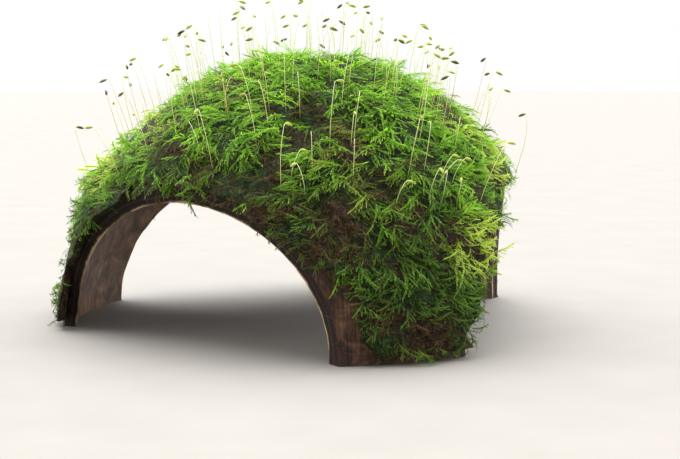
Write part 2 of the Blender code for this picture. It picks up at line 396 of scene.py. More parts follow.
def felt_body():
    """Closed lumpy body round the shell."""
    bm = bmesh.new()
    bmesh.ops.create_icosphere(bm, subdivisions=FELT_SUBDIVISIONS, radius=1.0)
    for vert in bm.verts:
        root = Vector((vert.co.x * SHELL_RADIUS, vert.co.y * SHELL_RADIUS,
                       vert.co.z * SHELL_SEMI_HEIGHT + SHELL_CENTRE_Z))
        thick = FELT_THICKNESS + waves_at(root, FELT_LUMPS)
        thin = nearness(root, THIN_PLACES, THIN_REACH)
        vert.co = root + shell_normal(root) * thick * (1 - THIN_SHARE * thin ** 0.5)
    return as_object("java_moss_felt", bm)


def doorway_hem(index, azimuth):
    """Straight ragged plug that trims the growth, which so hangs a little past the arch's edge."""
    near = []
    far = []
    outline = arch_outline(DOOR_HALF_WIDTH + DOOR_HEM, DOOR_HEIGHT + DOOR_HEM, HEM_POINTS)
    for step, (across, height) in enumerate(outline):
        ragged = DOOR_HEM_RAGGED * noise.noise(Vector((step * HEM_PITCH, index, 0)))
        setback, top, squareness = HEM_SIDES[index][across > 0]
        ragged += setback * max(0.0, 1 - (max(0.0, height) / top) ** squareness)
        grown = 1 + ragged / DOOR_HALF_WIDTH
        side = facing(azimuth + 90) * across * grown + UP * height * grown
        near.append(side + facing(azimuth) * HEM_NEAR)
        far.append(side + facing(azimuth) * HEM_FAR)
    return lofted("doorway_hem", (near, far), sum(far, Vector()) / len(far))


def ground_hem():
    """Disc with a wavy top that trims the growth's lower edge clear of the ground."""
    low_and_shaded = []
    high = []
    for step in range(HEM_STEPS):
        out = facing(360 * step / HEM_STEPS) * HEM_FAR
        ripple = 0.5 + 0.5 * noise.noise(Vector((step * HEM_PITCH, 0, len(DOOR_AZIMUTHS))))
        low_and_shaded.append(out - UP * HEM_FAR)
        high.append(out + UP * (GROUND_HEM + GROUND_HEM_RAGGED * ripple))
    return lofted("ground_hem", (low_and_shaded, high), UP * GROUND_HEM)


def fuzz(obj):
    """Splits every face of a felt in four and raises the new points unevenly, but not on its bed."""
    bm = bmesh.new()
    bm.from_mesh(obj.data)
    bmesh.ops.triangulate(bm, faces=bm.faces)
    bmesh.ops.subdivide_edges(bm, edges=bm.edges, cuts=1, use_grid_fill=True)
    for vert in bm.verts:
        if shell_reach(vert.co) > BED_TOP_REACH:
            vert.co += shell_normal(vert.co) * FUZZ_HEIGHT * noise.noise(vert.co / FUZZ_SIZE)
    bm.to_mesh(obj.data)
    bm.free()


def give_way(tree, colour, factor, stops, measure, limits):
    """A colour that gives way to a ramp's over a factor, as a measure rises through its limits."""
    other = put(tree, "ShaderNodeValToRGB", {"Fac": factor}, stops)[0]
    rise = {"Value": measure, "From Min": limits[0], "From Max": limits[1]}
    share = put(tree, "ShaderNodeMapRange", rise)[0]
    return put(tree, "ShaderNodeMix", {0: share, 6: colour, 7: other}, data_type="RGBA")[2]


def dead_moss_felt_and_gap_shade(tree):
    """Dead moss: matted stems, dull, black-green and, lower down, brown. Its near-black colour is partly
    painted shade, so that the gaps between shoots look shadowed. A stem is 0.1 mm thick, too fine to show,
    and the mat's grain is drawn coarser."""
    where = put(tree, "ShaderNodeTexCoord")["Object"]
    strands = put(tree, "ShaderNodeTexNoise", {"Vector": where, "Scale": 1 / FELT_GRAIN, "Detail": 6.0,
                                               "Roughness": 0.7, "Distortion": 1.5})["Fac"]
    patches = put(tree, "ShaderNodeTexNoise",
                  {"Vector": where, "Scale": 1 / FELT_PATCH, "Detail": 3.0})["Fac"]
    height = put(tree, "ShaderNodeSeparateXYZ", {0: where})["Z"]
    up_dome = {"Value": height, "From Min": DOOR_HEIGHT, "From Max": SHELL_SEMI_HEIGHT,
               "To Min": 0.0, "To Max": CROWN_GREENER}
    greener = put(tree, "ShaderNodeMapRange", up_dome)[0]
    browner = put(tree, "ShaderNodeMath", {0: patches, 1: greener}, operation="ADD")[0]
    # Painted shade: these near-black greens and browns stand partly for the shadow in the gaps between the
    # shoots; dead stems are dark too.
    green = put(tree, "ShaderNodeValToRGB", {"Fac": strands},
                ((0.38, "#0b1107"), (0.47, "#18250d"), (0.56, "#2b3c18"), (0.66, "#485c28")))[0]
    brown = ((0.38, "#0e0906"), (0.47, "#281b11"), (0.56, "#422e1c"), (0.66, "#664d31"))
    colour = give_way(tree, green, strands, brown, browner, (0.42, 0.58))
    return matt(tree, colour, {"Height": strands, "Strength": 1.0, "Distance": 0.0005},
                {"Roughness": 0.85, "Specular IOR Level": 0.2})


felt = felt_body()
bed = turned("bed", shell_profile(-BED_SINK, BELOW_GROUND, BED_RINGS) + [UP * BELOW_GROUND], BED_STEPS)
hems = [doorway_hem(index, azimuth) for index, azimuth in enumerate(DOOR_AZIMUTHS)]
cut_away(felt, [bed, *hems, ground_hem()])
fuzz(felt)
felt.data.transform(Matrix.Translation(SHELL_AXIS))
felt.data.materials.append(made_of(dead_moss_felt_and_gap_shade))
felt.data.shade_smooth()
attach(felt, "root")
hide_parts("java_moss")

# Green shoots: the living moss. Each is a thin arched stem with two rows of pointed leaves half a
# millimetre long, like a small feather, and the longer ones carry side branches of such leaves.
# They grow out of the felt all over and lean downhill. They are brightest at their young tips and dark at the
# foot, a darkness that is partly painted shade from the growth above.
SIDE = Vector((0, 1, 0))
LEAF_LENGTH = 0.00050
LEAF_WIDTH = 0.00023
LEAF_PITCH = 0.00041
LEAF_JITTER = 0.6
FIRST_LEAF = 0.08
LEAF_ANGLES = (40.0, 14.0)
LEAF_ANGLE_SPREAD = 9.0
LEAF_LIFT = (-0.2, 0.35)
LEAST_LEAF = 0.35
LEAF_SWELL = 0.75
LEAF_SWELL_SPAN = (0.15, 0.90)
LEAF_SIZES = (0.7, 1.2)
# Painted shade: each leaf's base sits lower on the colour ramp, so darker, and its tip higher, so lighter.
LEAF_SHADES = (-0.12, -0.12, 0.16)
LEAVES_ALONG = (0.0, 0.86)
STEM_RADIUS = 0.00005
STEM_SIDES = 3
STEM_TAPER = 0.5
STEM_ALONG = (0.0, 0.6)
SHORT_SHOOTS = (0.0036, 0.0050)
# The length of each branched shoot and its number of branches.
FRONDS = ((0.0046, 7), (0.0056, 9), (0.0066, 11), (0.0078, 13))
FIRST_BRANCH = 0.12
BRANCHED_SHARE = 0.74
BRANCH_JITTER = 0.5
BRANCH_LENGTH = 0.0020
FOOT_BRANCH = 1.2
BRANCH_TAPER = 0.8
BRANCH_LENGTHS = (0.5, 1.3)
BRANCH_LEAVES = 0.8
BRANCH_ANGLES = (0.5, 1.3)
BRANCH_LIFT = (-0.35, 0.55)
BRANCH_DROP = 0.4
BRANCH_SWEEP = 1.1
BRANCH_STEPS = 2
SHOOT_RISE = (0.45, 1.15)
SHOOT_DROP = (1.0, 2.6)
SHOOT_SWAY = (0.6, 2.8)
SHOOT_STEPS = 5
SHOOT_SEED = 5
MOSS_FACING = 0.1
MOSS_ZONES = (("front", 21.75), ("left", 262.75), ("back", 140.0))
CROWN_HEIGHT = 0.0515
SHOULDER_HEIGHT = 0.0435
ROOT_SPACING = 0.00085
ROOTS_PER_AREA = 2500000.0
SHOOT_SIZES = (0.6, 1.15)
SHOOT_TURNS = (0.7, 0.35, 0.75)
# The share by which each shoot's random tint is drawn to the tone, which is partly painted shade.
TONE_SHARE = 0.5
# Currents that swirl the growth, and the clumps it stands in, as waves.
SWIRLS = ((0.014, 1.6, 0), (0.007, 0.9, 9))
CLUMPS = ((0.0065, 0.7, 0), (0.00325, 0.5, 0))
PARTING = 0.7
SPREADING = 0.5
EDGE_TURN = 0.3
LUSH_TURN = 0.5
CURL_DOWNHILL = 0.6
EDGE_REACH = 0.0055
FOOT_REACH = 0.010
# Painted shade: from the first height down to the second the shoots turn duller and darker, partly as older
# growth, partly as the shade under the dome's overhang.
LOW_SHADE_HEIGHTS = (0.054, 0.022)
# Painted light: near these places the lower growth is kept bright, as if in sun.
SUNNY_PLACES = ((40, 0.046), (52, 0.038), (-60, 0.046), (-80, 0.038), (64, 0.044))
SUNNY_REACH = 0.016
SCANT_PLACES = ((14, 0.006), (11, 0.014), (5, 0.021), (54, 0.0295), (68, 0.035), (78, 0.036), (90, 0.035))
SCANT_REACH = 0.0065
LUSH_PLACES = ((41, 0.0240), (42, 0.0205))
LUSH_REACH = 0.0060
DEAD_PLACES = ((-29, 0.037), (-41, 0.040), (-18, 0.033), (-6, 0.036), (9, 0.031), (0, 0.048), (22, 0.034),
               (-11, 0.029), (-3, 0.042), (9, 0.026))
BARE_PLACES = ((-4, 0.038), (-8, 0.025), (0, 0.022), (25, 0.026), (28, 0.012), (17, 0.044), (-14, 0.033),
               (6, 0.013))
# Painted light in part: most of these places lie at the dome's left and right sides, where the shoots are
# coloured pale yellow-green for the glow of light coming through them from behind; the rest are young growth
# by the lush clump.
PALE_AND_GLOW_PLACES = ((41, 0.023), (-64, 0.033), (-81, 0.044), (59, 0.034), (67, 0.039), (37, 0.020), (-92, 0.026),
               (-75, 0.039), (-86, 0.034), (-96, 0.036), (-88, 0.041), (-71, 0.045), (-100, 0.030),
               (62, 0.044))
PATCH_REACH = 0.006
# Patches stand in their places, and elsewhere where a wave of a size and layer tops a threshold.
PATCHES = (("dead", DEAD_PLACES, 0.012, 7, 0.25), ("bare", BARE_PLACES, 0.007, 3, 0.4),
           ("pale", PALE_AND_GLOW_PLACES, 0.02, 5, 0.0))
LOW_PATCHES = 1.5
CROWN_PATCHES = 0.3
# What each cause, at its full strength, adds to each measure of the growth.
MEASURES = {"grows": {"always": 0.95, "clump": 0.5, "bare": -0.25, "lush": 1.0},
            "press": {"scant": 0.2, "lush": -0.3},
            "brown": {"dead": 1.4, "foot": 0.05, "edge": 0.15},
            "pale": {"pale": 1.5, "paler": 0.8, "lush": 0.8},
            # tone is partly painted shade: it is higher, so the shoots darker, in the dips between clumps; it
            # is also higher in bare patches and lower in lush ones.
            "tone": {"always": 0.5, "clump": -1.1, "bare": 0.5, "lush": -0.3}}
# By what share each cause makes the shoots longer or shorter.
LENGTHENED = {"clump": 0.4, "poor_edge": -0.3, "foot": -0.3, "thin": -0.38, "scant": -0.3, "patch": -0.2}
LEAST_GROWTH = 0.5
LYING_BELOW = 0.0006
LYING_LEAST = 0.0002
LYING_SAG = 0.002


def between(limits, share):
    """Value a share of the way from one limit to the other."""
    return limits[0] + (limits[1] - limits[0]) * share


def squared(side, heading):
    """Unit vector square to a heading, as near as it can be to a side."""
    return (side - heading * side.dot(heading)).normalized()


def path_along(start, heading, side, length, drop, sway, steps):
    """(point, heading) pairs along a stem that bends down and sways sideways as it grows."""
    path = [(start, heading)]
    for _ in range(steps):
        heading = (heading - UP * drop / steps + side * sway / steps).normalized()
        path.append((path[-1][0] + heading * length / steps, heading))
    return path


def sprout(length, rises, drops, sways, hand, steps, rng):
    """Path of a stem from the origin over X, with its rise, drop and sway to the hand drawn."""
    rise = rng.uniform(*rises)
    heading = Vector((math.cos(rise), 0, math.sin(rise)))
    drop = rng.uniform(*drops)
    return path_along(Vector(), heading, SIDE, length, drop, hand * rng.uniform(*sways), steps)


def part_way(path, share):
    """Point and heading a share of the way along a path."""
    place = share * (len(path) - 1)
    index = min(int(place), len(path) - 2)
    (near, heading), (far, next_heading) = path[index], path[index + 1]
    return near.lerp(far, place - index), heading.lerp(next_heading, place - index).normalized()


def ring_round(centre, across, above, radius, sides):
    """Points of a ring round a centre."""
    angles = [math.tau * corner / sides for corner in range(sides)]
    return [centre + (across * math.cos(angle) + above * math.sin(angle)) * radius for angle in angles]


def add_rod(plant, rings, levels):
    """Closed rod over rings, the last of which may be a single point, added with each ring's share
    to a plant of points, faces and shares."""
    points, faces, shares = plant
    first = len(points)
    sides = len(rings[0])
    for ring, level in zip(rings, levels):
        points.extend(ring)
        shares.extend([level] * len(ring))
    faces.append(tuple(first + corner for corner in reversed(range(sides))))
    for index, ring in enumerate(rings[1:]):
        for corner in range(sides):
            here = first + sides * index + corner
            following = first + sides * index + (corner + 1) % sides
            beyond = (following + sides, here + sides) if len(ring) == sides else (len(points) - 1,)
            faces.append((here, following, *beyond))
    if len(rings[-1]) == sides:
        faces.append(tuple(range(len(points) - sides, len(points))))


def add_stem(plant, path, side, radius, along):
    """Three-sided stem that thins and closes to a point, with its shares running between two."""
    last = len(path) - 1
    rings = []
    for index, (centre, heading) in enumerate(path[:-1]):
        across = squared(side, heading)
        thick = radius * (1 - STEM_TAPER * index / last)
        rings.append(ring_round(centre, across, heading.cross(across), thick, STEM_SIDES))
    rings.append([path[-1][0]])
    add_rod(plant, rings, [between(along, index / last) for index in range(last + 1)])


def add_leaves(plant, path, side, length, along, size, rng):
    """Two rows of narrow pointed leaves of a size from near a stem's foot to its tip."""
    points, faces, shares = plant
    leaves = 2 * round(length / LEAF_PITCH)
    for leaf in range(leaves):
        place = leaf + rng.uniform(0, LEAF_JITTER)
        share = min(1.0, FIRST_LEAF + (1 - FIRST_LEAF) * place / (leaves - 1))
        base, heading = part_way(path, share)
        across = squared(side, heading)
        above = heading.cross(across)
        out = across if leaf % 2 else -across
        spread = rng.uniform(-LEAF_ANGLE_SPREAD, LEAF_ANGLE_SPREAD)
        angle = math.radians(between(LEAF_ANGLES, share) + spread)
        lift = above * rng.uniform(*LEAF_LIFT)
        way = (heading * math.cos(angle) + out * math.sin(angle) + lift).normalized()
        swell = LEAST_LEAF + LEAF_SWELL * math.sin(math.pi * between(LEAF_SWELL_SPAN, share))
        reach = size * swell * rng.uniform(*LEAF_SIZES)
        half = way.cross(above).normalized() * LEAF_WIDTH / 2
        first = len(points)
        points += [base - half, base + half, base + way * reach]
        shares += [between(along, share) + shade for shade in LEAF_SHADES]
        faces.append((first, first + 1, first + 2))


def plant_object(name, plant, collection=bpy.context.scene.collection):
    """Object of a plant, with the shares along its stems and leaves as an attribute."""
    points, faces, shares = plant
    mesh = bpy.data.meshes.new(name)
    mesh.from_pydata(points, [], faces)
    mesh.attributes.new("along", "FLOAT", "POINT").data.foreach_set("value", shares)
    return add_object(name, mesh, collection)


def shoot(length, branches, hand, rng):
    """One shoot from the origin that leans along X and curls to the hand: points, faces and shares."""
    plant = ([], [], [])
    path = sprout(length, SHOOT_RISE, SHOOT_DROP, SHOOT_SWAY, hand, SHOOT_STEPS, rng)
    add_stem(plant, path, SIDE, STEM_RADIUS, STEM_ALONG)
    add_leaves(plant, path, SIDE, length, LEAVES_ALONG, LEAF_LENGTH, rng)
    for branch in range(branches):
        share = FIRST_BRANCH + BRANCHED_SHARE * (branch + rng.uniform(0, BRANCH_JITTER)) / branches
        start, heading = part_way(path, share)
        out = SIDE if branch % 2 else -SIDE
        way = (heading + out * rng.uniform(*BRANCH_ANGLES) + UP * rng.uniform(*BRANCH_LIFT)).normalized()
        reach = BRANCH_LENGTH * (FOOT_BRANCH - BRANCH_TAPER * share) * rng.uniform(*BRANCH_LENGTHS)
        twig = path_along(start, way, heading, reach, BRANCH_DROP, BRANCH_SWEEP, BRANCH_STEPS)
        along = (between(STEM_ALONG, share), LEAVES_ALONG[1])
        add_leaves(plant, twig, squared(SIDE, way), reach, along, LEAF_LENGTH * BRANCH_LEAVES, rng)
    return plant


def growth_tree():
    """Tree that plants one of a collection's shoots at each of many scattered roots on a surface.

    The surface's points carry grows, how thick the growth is, vigour, how long it is, lean, the way it leans,
    press, how far it is bent down to the surface, curl, the share of it that comes from the second half of
    the collection, and tone, which is partly painted shade in the dips between clumps. Each planted shoot
    carries tint, a random share drawn part way to the tone.
    """
    tree = bpy.data.node_groups.new("growth", "GeometryNodeTree")
    sockets = (("Surface", "Geometry"), ("Shoots", "Collection"), ("Kinds", "Int"), ("Spacing", "Float"),
               ("Roots", "Float"), ("Smallest", "Float"), ("Largest", "Float"), ("Turns", "Vector"),
               ("Tone Share", "Float"), ("Material", "Material"), ("Seed", "Int"))
    for name, kind in sockets:
        tree.interface.new_socket(name, in_out="INPUT", socket_type="NodeSocket" + kind)
    tree.interface.new_socket("Growth", in_out="OUTPUT", socket_type="NodeSocketGeometry")
    given = put(tree, "NodeGroupInput")
    carried = {}
    for name in ("grows", "vigour", "lean", "press", "curl", "tone"):
        kind = "FLOAT_VECTOR" if name == "lean" else "FLOAT"
        carried[name] = put(tree, "GeometryNodeInputNamedAttribute", {"Name": name}, data_type=kind)[0]
    roots = put(tree, "GeometryNodeDistributePointsOnFaces",
                {"Mesh": given["Surface"], "Distance Min": given["Spacing"], "Density Max": given["Roots"],
                 "Density Factor": carried["grows"], "Seed": given["Seed"]}, distribute_method="POISSON")
    stood = put(tree, "FunctionNodeAlignRotationToVector", {"Vector": roots["Normal"]}, axis="Z")[0]
    leaning = put(tree, "FunctionNodeAlignRotationToVector", {"Rotation": stood, "Vector": carried["lean"]},
                  axis="X", pivot_axis="Z")[0]
    back = put(tree, "ShaderNodeVectorMath", {0: given["Turns"], "Scale": -1.0}, operation="SCALE")[0]
    turns = put(tree, "FunctionNodeRandomValue", {0: back, 1: given["Turns"], "Seed": 1},
                data_type="FLOAT_VECTOR")[0]
    dip = put(tree, "ShaderNodeCombineXYZ", {"Y": carried["press"]})[0]
    tilts = put(tree, "ShaderNodeVectorMath", {0: turns, 1: dip}, operation="ADD")[0]
    turned_by = put(tree, "FunctionNodeEulerToRotation", {0: tilts})[0]
    rotation = put(tree, "FunctionNodeRotateRotation", {"Rotation": leaning, "Rotate By": turned_by},
                   rotation_space="LOCAL")[0]
    size = put(tree, "FunctionNodeRandomValue", {2: given["Smallest"], 3: given["Largest"], "Seed": 2},
               data_type="FLOAT")[1]
    scale = put(tree, "ShaderNodeMath", {0: size, 1: carried["vigour"]}, operation="MULTIPLY")[0]
    last_kind = put(tree, "ShaderNodeMath", {0: given["Kinds"], 1: 1.0}, operation="SUBTRACT")[0]
    kind = put(tree, "FunctionNodeRandomValue", {4: 0, 5: last_kind, "Seed": 3}, data_type="INT")[2]
    other_hand = put(tree, "FunctionNodeRandomValue", {"Probability": carried["curl"], "Seed": 5},
                     data_type="BOOLEAN")[3]
    choice = put(tree, "ShaderNodeMath", {0: other_hand, 1: given["Kinds"], 2: kind},
                 operation="MULTIPLY_ADD")[0]
    shoots = put(tree, "GeometryNodeCollectionInfo",
                 {"Collection": given["Shoots"], "Separate Children": True, "Reset Children": True})[0]
    planted = put(tree, "GeometryNodeInstanceOnPoints",
                  {"Points": roots["Points"], "Instance": shoots, "Pick Instance": True,
                   "Instance Index": choice, "Rotation": rotation, "Scale": scale})[0]
    chance = put(tree, "FunctionNodeRandomValue", {2: 0.0, 3: 1.0, "Seed": 4}, data_type="FLOAT")[1]
    tint = put(tree, "ShaderNodeMix", {0: given["Tone Share"], 2: chance, 3: carried["tone"]},
               data_type="FLOAT")[0]
    tinted = put(tree, "GeometryNodeStoreNamedAttribute",
                 {"Geometry": planted, "Name": "tint", "Value": tint},
                 data_type="FLOAT", domain="INSTANCE")[0]
    real = put(tree, "GeometryNodeRealizeInstances", {"Geometry": tinted})[0]
    finished = put(tree, "GeometryNodeSetMaterial", {"Geometry": real, "Material": given["Material"]})[0]
    put(tree, "NodeGroupOutput", {"Growth": finished})
    return tree


def rest_on_ground(mesh):
    """Lays whatever would hang below the ground just over it."""
    for vert in mesh.vertices:
        if vert.co.z < LYING_BELOW:
            sunk = math.exp((vert.co.z - LYING_BELOW) / LYING_SAG)
            vert.co.z = LYING_LEAST + (LYING_BELOW - LYING_LEAST) * sunk


def grow(surface, tree, settings):
    """Turns a surface into the plain mesh of what grows on it."""
    modifier = surface.modifiers.new("growth", "NODES")
    modifier.node_group = tree
    for item in tree.interface.items_tree:
        if item.name in settings:
            modifier[item.identifier] = settings[item.name]
    make_plain(surface)
    rest_on_ground(surface.data)


def growing_surface(name, source, wanted, state_at):
    """The wanted faces of a source mesh, with what grows there as attributes of their points."""
    bm = bmesh.new()
    bm.from_mesh(source)
    bmesh.ops.translate(bm, verts=bm.verts, vec=-SHELL_AXIS)
    bm.normal_update()
    others = [face for face in bm.faces if not wanted(face)]
    bmesh.ops.delete(bm, geom=others, context="FACES")
    states = [state_at(vert.co) for vert in bm.verts]
    bmesh.ops.translate(bm, verts=bm.verts, vec=SHELL_AXIS)
    mesh = bpy.data.meshes.new(name)
    bm.to_mesh(mesh)
    bm.free()
    leans = [part for state in states for part in state.pop("lean")]
    mesh.attributes.new("lean", "FLOAT_VECTOR", "POINT").data.foreach_set("vector", leans)
    for key in states[0]:
        values = [state[key] for state in states]
        mesh.attributes.new(key, "FLOAT", "POINT").data.foreach_set("value", values)
    return add_object(name, mesh)


def doorway_edge(point):
    """Distance beyond the nearest doorway's outer edge, and the level or upward way into it."""
    nearest = (1.0, Vector())
    for azimuth in DOOR_AZIMUTHS:
        if point.dot(facing(azimuth)) < 0:
            continue
        wide = point.dot(facing(azimuth + 90)) / (DOOR_HALF_WIDTH + DOOR_FLARE)
        tall = point.z / (DOOR_HEIGHT + DOOR_FLARE)
        beyond = (math.hypot(wide, tall) - 1) * DOOR_HEIGHT
        inwards = -(facing(azimuth + 90) * wide + UP * tall).normalized()
        nearest = min(nearest, (beyond, inwards), key=lambda pair: pair[0])
    return nearest


def lean_at(point, normal, inwards, near_edge, lush):
    """Downhill, swirled by broad currents in the growth, and turned aside along a doorway's edge."""
    level = UP.cross(normal)
    radial = Vector((point.x, point.y, 0)) / SHELL_RADIUS * SPREADING
    swirl = waves_at(point, SWIRLS) + PARTING * point.x / SHELL_RADIUS
    way = normal * normal.z - UP + radial + level * swirl
    towards = way.dot(inwards)
    if towards > 0:
        way -= inwards * towards * near_edge * EDGE_TURN * (1 - lush)
    return squared(way + level * lush * LUSH_TURN, normal)


def growth_at(point):
    """How the moss stands at a point: how thick, how long and which way, and how brown, pale or dull; the
    dullness further down and the darkness in the dips are partly painted shade, and the paleness at the sides
    is partly a painted glow.
    """
    beyond, inwards = doorway_edge(point)
    normal = shell_normal(point)
    # Painted shade: low_and_shaded rises towards the ground and falls near the sunny places; it also makes
    # patches commoner further down.
    low_and_shaded = max(0.0, min(1.0, (LOW_SHADE_HEIGHTS[0] - point.z) / (LOW_SHADE_HEIGHTS[0] - LOW_SHADE_HEIGHTS[1])))
    low_and_shaded *= 1 - nearness(point, SUNNY_PLACES, SUNNY_REACH) ** 0.5
    lush = nearness(point, LUSH_PLACES, LUSH_REACH) ** 0.5
    near_edge = max(0.0, 1 - max(0.0, beyond) / EDGE_REACH)
    causes = {"always": 1.0, "lush": lush, "edge": near_edge, "poor_edge": near_edge * (1 - lush),
              "clump": waves_at(point, CLUMPS), "foot": max(0.0, 1 - point.z / FOOT_REACH),
              "thin": nearness(point, THIN_PLACES, THIN_REACH) ** 0.5,
              "scant": nearness(point, SCANT_PLACES, SCANT_REACH) ** 0.5}
    for name, places, size, layer, threshold in PATCHES:
        causes[name] = nearness(point, places, PATCH_REACH)
        stray = max(0.0, noise.noise(point / size + UP * layer) - threshold)
        if name == "pale":
            causes["paler"] = stray
        else:
            causes[name] += stray * LOW_PATCHES * (CROWN_PATCHES + low_and_shaded)
    causes["patch"] = min(1.0, causes["dead"] + causes["bare"])
    measures = {name: sum(weight * causes[cause] for cause, weight in weights.items())
                for name, weights in MEASURES.items()}
    lean = lean_at(point, normal, inwards, near_edge, lush)
    return {"grows": max(LEAST_GROWTH, min(1.0, measures["grows"])),
            "press": measures["press"],
            "vigour": math.prod(1 + share * causes[cause] for cause, share in LENGTHENED.items()),
            "brown": min(1.0, measures["brown"]) * (1 - lush),
            "pale": min(1.0, measures["pale"]),
            "dull": min(1.0, low_and_shaded + causes["bare"]) * (1 - lush),
            "tone": measures["tone"],
            "curl": 0.5 - CURL_DOWNHILL * lean.dot(UP.cross(normal)),
            "lean": lean}


def zone_of(point):
    """Name of the zone of the growth that a point lies in."""
    if point.z > CROWN_HEIGHT:
        return "crown"
    if point.z > SHOULDER_HEIGHT:
        return "shoulder"
    return max(MOSS_ZONES, key=lambda zone: point.dot(facing(zone[1])))[0]


def bears_moss(face, zone):
    """Whether a face of the felt looks outwards and lies in a zone."""
    middle = face.calc_center_median()
    outwards = face.normal.dot(shell_normal(middle)) > MOSS_FACING
    return outwards and shell_reach(middle) > BED_TOP_REACH and zone_of(middle) == zone


def see_through(tree, colour, share, surface):
    """Shader of a thin colour, a share of which is light that comes through it."""
    body = put(tree, "ShaderNodeBsdfPrincipled", {"Base Color": colour, **surface})[0]
    glow = put(tree, "ShaderNodeBsdfTranslucent", {"Color": colour})[0]
    return put(tree, "ShaderNodeMixShader", {0: share, 1: body, 2: glow})[0]


def living_moss_leaf(tree):
    """Living moss: one-cell-thick leaves, moist and see-through to light, bright and yellowish at the young
    tips, brown where the shoot is dying, and dark at the foot, partly as painted shade. Painted shade also
    darkens the dips between clumps and the lower growth, and a painted glow of light from behind makes the
    sides paler."""
    along = put(tree, "ShaderNodeAttribute", attribute_name="along")["Fac"]
    tint = put(tree, "ShaderNodeAttribute", attribute_name="tint")["Fac"]
    # Each ramp runs from dark at the shoot's foot to light at its tip: the light tips are young growth, the
    # dark foot is partly painted shade.
    fresh = ((0.05, "#5c8a24"), (0.35, "#84ba30"), (0.70, "#9acc3c"), (0.98, "#b6de58"))
    # Painted shade in part: shoots whose tint is high, mostly those in the dips between clumps, take this
    # darker ramp; the rest of the tint is random.
    dark_tone_and_dip_shade = ((0.05, "#325416"), (0.40, "#4a8020"), (0.75, "#5e9828"), (0.98, "#7ab03c"))
    # Painted shade in part: the lower growth takes this dull ramp.
    dull = ((0.05, "#2b3c16"), (0.40, "#446220"), (0.75, "#5a822c"), (0.98, "#769e3e"))
    # Painted light in part: where it stands at the sides, this pale yellow ramp is a painted glow of light
    # from behind.
    yellow = ((0.05, "#6e8224"), (0.35, "#aac43e"), (0.70, "#cee25e"), (0.98, "#eaf6a0"))
    dead = ((0.05, "#2a1d10"), (0.45, "#4c3a22"), (0.80, "#665430"), (0.98, "#857548"))
    colour = put(tree, "ShaderNodeValToRGB", {"Fac": along}, fresh)[0]
    colour = give_way(tree, colour, along, dark_tone_and_dip_shade, tint, (0.35, 0.75))
    for name, stops, limits in (("dull", dull, (0.6, 1.5)), ("pale", yellow, (0.72, 1.2)),
                                ("brown", dead, (0.7, 1.2))):
        state = put(tree, "ShaderNodeAttribute", attribute_name=name)["Fac"]
        measure = put(tree, "ShaderNodeMath", {0: state, 1: tint}, operation="ADD")[0]
        colour = give_way(tree, colour, along, stops, measure, limits)
    return see_through(tree, colour, 0.5, {"Roughness": 0.6, "Specular IOR Level": 0.2})


def clear(collection):
    """Removes what a growth was planted from, once it is a plain mesh."""
    for obj in list(collection.objects):
        bpy.data.objects.remove(obj, do_unlink=True)


shoot_rng = random.Random(SHOOT_SEED)
shoots = bpy.data.collections.new("shoots")
kinds = [(length, 0) for length in SHORT_SHOOTS] + list(FRONDS)
for name, hand in (("curled_left", 1), ("curled_right", -1)):
    for length, branches in kinds:
        plant_object(name, shoot(length, branches, hand, shoot_rng), shoots)
growth = growth_tree()
living_moss = made_of(living_moss_leaf)
zones = ["crown", "shoulder"] + [name for name, _ in MOSS_ZONES]
for seed, zone in enumerate(zones):
    moss = growing_surface("java_moss_" + zone, felt.data, lambda face: bears_moss(face, zone), growth_at)
    grow(moss, growth, {"Shoots": shoots, "Kinds": len(kinds), "Spacing": ROOT_SPACING,
                        "Roots": ROOTS_PER_AREA, "Smallest": SHOOT_SIZES[0], "Largest": SHOOT_SIZES[1],
                        "Turns": SHOOT_TURNS, "Tone Share": TONE_SHARE, "Material": living_moss,
                        "Seed": seed})
    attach(moss, "root")
    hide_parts("java_moss")
clear(shoots)

# Hanging fronds: single bright branched shoots that have grown out of the mat's lower edge and
# hang over the bare husk and the doorways' rims.
# The azimuth and height of each frond's root, its length, and how far it swings aside.
HANGING_PLACES = ((7.5, 0.0198, 0.0080, 0.8), (-61.0, 0.0310, 0.0056, 0.5), (-66.0, 0.0280, 0.0060, 0.6),
                  (-70.0, 0.0250, 0.0062, 0.5), (-73.0, 0.0215, 0.0060, 0.6), (-74.5, 0.0180, 0.0050, 0.4),
                  (-50.0, 0.0350, 0.0050, 0.3), (-41.0, 0.0350, 0.0048, -0.2), (-12.0, 0.0310, 0.0050, -0.2),
                  (14.0, 0.0140, 0.0052, -0.3), (36.0, 0.0130, 0.0052, 0.2), (33.0, 0.0200, 0.0056, 0.0))
HANGING_OFFSET = 0.0012
HANGING_BRANCHES = 7
HANGING_SEED = 14


def moved(plant, place, way, normal):
    """A plant's points set down at a place, so that its X axis looks along the way."""
    side = normal.cross(way).normalized()
    above = way.cross(side)
    return [place + way * point.x + side * point.y + above * point.z for point in plant[0]]


hanging = ([], [], [])
hanging_rng = random.Random(HANGING_SEED)
for azimuth, height, length, swing in HANGING_PLACES:
    place = on_shell_by_door(azimuth, 0.0, height, HANGING_OFFSET)
    normal = shell_normal(place)
    way = (normal * normal.z - UP + UP.cross(normal) * swing).normalized()
    frond = shoot(length, HANGING_BRANCHES, hanging_rng.choice((-1, 1)), hanging_rng)
    first = len(hanging[0])
    hanging[0].extend(moved(frond, place + SHELL_AXIS, way, normal))
    hanging[1].extend(tuple(first + corner for corner in face) for face in frond[1])
    hanging[2].extend(frond[2])
fronds = plant_object("java_moss_hanging_fronds", hanging)
fronds.data.materials.append(living_moss)
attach(fronds, "root")
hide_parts("java_moss")

